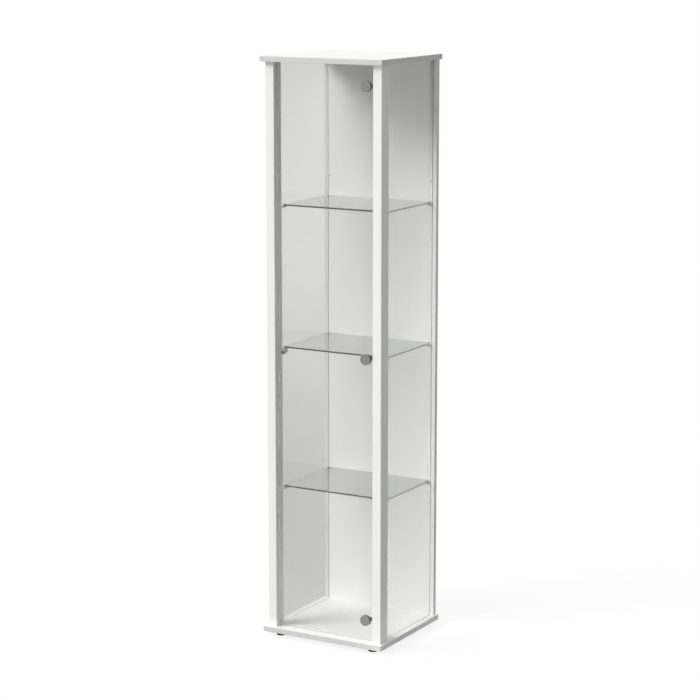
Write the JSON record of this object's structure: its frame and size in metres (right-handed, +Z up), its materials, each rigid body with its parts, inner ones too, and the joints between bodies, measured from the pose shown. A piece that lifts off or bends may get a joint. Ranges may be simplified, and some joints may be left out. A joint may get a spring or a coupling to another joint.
{
  "type": "display cabinet",
  "caption": "Tall narrow display cabinet: white board top, base, back and posts, clear glass sides and shelves, and a glass door with a small knob on round-capped hinges.",
  "frame": {"origin": "on the floor, under the middle of the cabinet", "axes": "+X to the right seen from the front, +Y to the back, +Z up; the door is at -Y"},
  "size_m": [0.42, 0.38, 1.81],
  "materials": {
    "panel_board": "white melamine board, satin",
    "edge_band": "white edge band, satin",
    "post_lacquer": "white lacquer, semi-gloss",
    "back_board": "white faced board, matt",
    "clear_glass": "clear float glass, polished edges",
    "satin_metal": "satin nickel",
    "chrome": "bright chrome",
    "zinc_steel": "bright zinc plate",
    "black_plastic": "black moulded plastic",
    "clear_plastic": "clear soft plastic",
    "dowel_wood": "bare beech"
  },
  "bodies": {
    "cabinet": {"top_panel": "panel_board", "bottom_panel": "panel_board", "top_edge_bands": "edge_band", "bottom_edge_bands": "edge_band", "left_front_post": "post_lacquer", "right_front_post": "post_lacquer", "left_side_glass": "clear_glass", "right_side_glass": "clear_glass", "upper_shelf": "clear_glass", "middle_shelf": "clear_glass", "lower_shelf": "clear_glass", "back_panel": "back_board", "front_shelf_pegs": "zinc_steel", "rear_shelf_pegs": "zinc_steel", "shelf_pads": "clear_plastic", "foot_screws": "zinc_steel", "dowels": "dowel_wood", "cam_bolts": "zinc_steel", "cam_locks": "zinc_steel", "connecting_screws": "zinc_steel", "hinge_arm_screws": "zinc_steel", "left_front_foot": "black_plastic", "left_rear_foot": "black_plastic", "right_front_foot": "black_plastic", "right_rear_foot": "black_plastic", "upper_hinge_arm": "zinc_steel", "middle_hinge_arm": "zinc_steel", "lower_hinge_arm": "zinc_steel"},
    "door": {"door_glass": "clear_glass", "knob": "chrome", "knob_screw": "zinc_steel", "knob_washers": "clear_plastic", "hinge_gaskets": "clear_plastic", "hinge_pins": "zinc_steel", "upper_hinge_cap": "satin_metal", "upper_hinge_cup": "black_plastic", "middle_hinge_cap": "satin_metal", "middle_hinge_cup": "black_plastic", "lower_hinge_cap": "satin_metal", "lower_hinge_cup": "black_plastic"}
  },
  "joints": [
    {"name": "door_hinge", "type": "hinge", "parent": "cabinet", "child": "door", "pos_m": [0.1505, -0.157, 0.9115], "axis": [0, 0, 1], "range_deg": [0, 95]}
  ]
}
